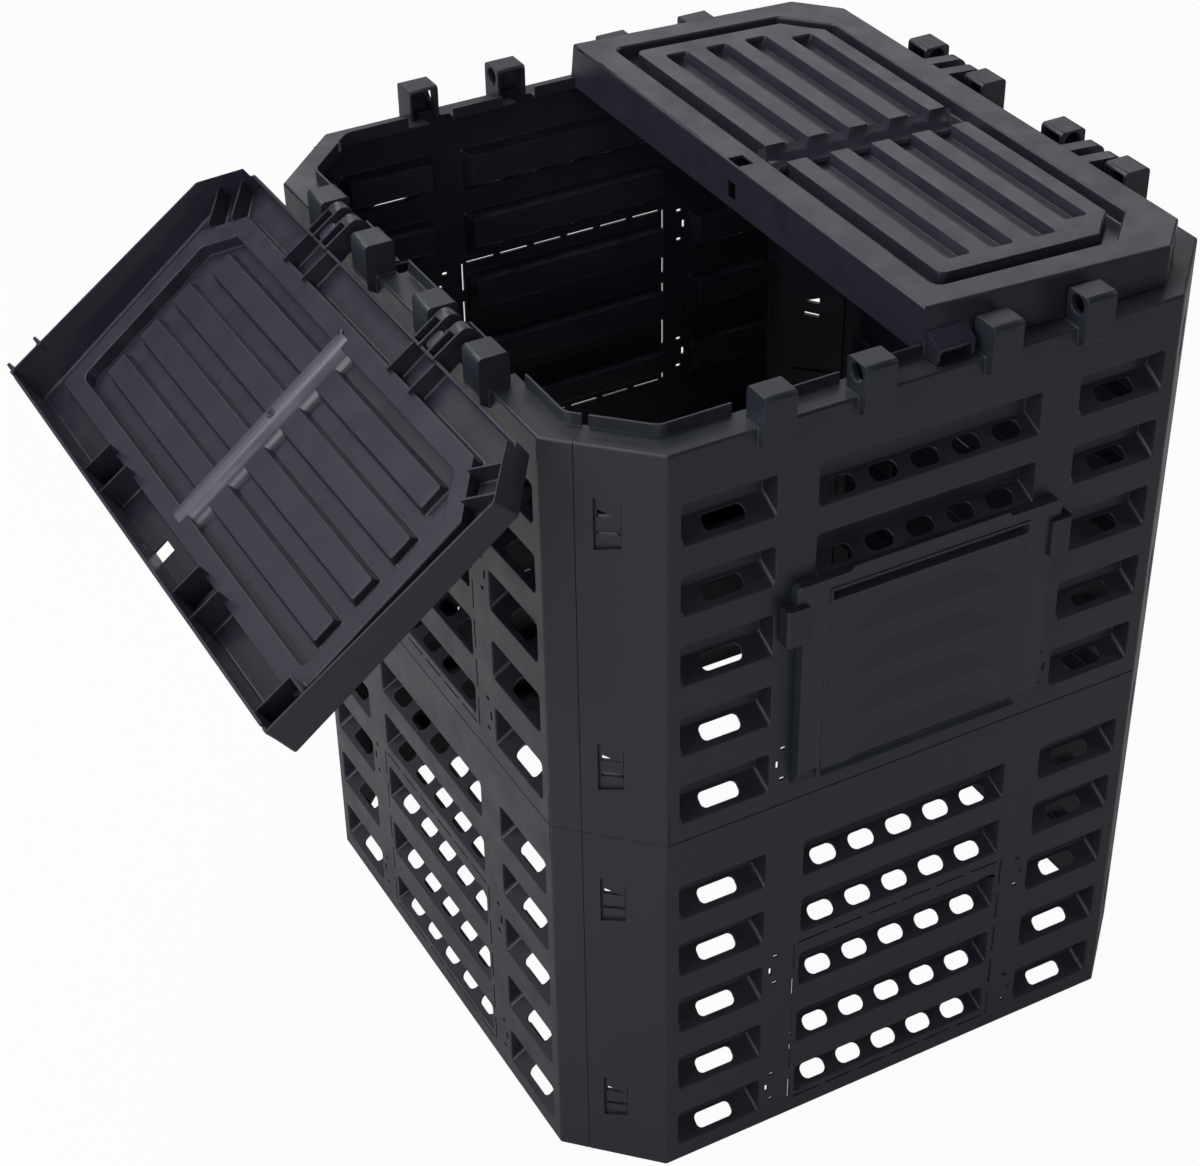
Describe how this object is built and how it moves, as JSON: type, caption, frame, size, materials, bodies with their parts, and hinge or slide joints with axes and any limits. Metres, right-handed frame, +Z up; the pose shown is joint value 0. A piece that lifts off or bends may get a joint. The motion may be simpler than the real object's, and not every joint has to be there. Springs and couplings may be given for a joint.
{
  "type": "compost bin",
  "caption": "Square two-tier garden compost bin of moulded wall panels with slotted vent pockets, two swinging lids and a sliding access door.",
  "frame": {"origin": "middle of the square footprint, on the ground", "axes": "+Z up; the access door faces -Y; the lids hinge on the walls at +X and -X"},
  "size_m": [0.8669, 0.6325, 0.7905],
  "materials": {
    "panel_plastic": "fine satin-grained black moulded polypropylene",
    "lid_plastic": "fine satin-grained black moulded polypropylene",
    "door_plastic": "satin black moulded polypropylene",
    "clip_plastic": "satin black moulded polypropylene"
  },
  "bodies": {
    "walls": {"front_lower_panel": "panel_plastic", "right_lower_panel": "panel_plastic", "back_lower_panel": "panel_plastic", "left_lower_panel": "panel_plastic", "front_upper_panel": "panel_plastic", "right_upper_panel": "panel_plastic", "back_upper_panel": "panel_plastic", "left_upper_panel": "panel_plastic", "left_door_clip": "clip_plastic", "right_door_clip": "clip_plastic"},
    "door": {"access_door": "door_plastic"},
    "lid_right": {"right_lid": "lid_plastic"},
    "lid_left": {"left_lid": "lid_plastic"}
  },
  "joints": [
    {"name": "right_lid_hinge", "type": "hinge", "parent": "walls", "child": "lid_right", "pos_m": [0.3, 0, 0.767], "axis": [0, 1, 0], "range_deg": [0, 215.5]},
    {"name": "left_lid_hinge", "type": "hinge", "parent": "walls", "child": "lid_left", "pos_m": [-0.3, 0, 0.767], "axis": [0, -1, 0], "range_deg": [-215.5, 0]},
    {"name": "door_slide", "type": "slide", "parent": "walls", "child": "door", "axis": [0, 0, 1], "range_m": [0, 0.12]}
  ]
}
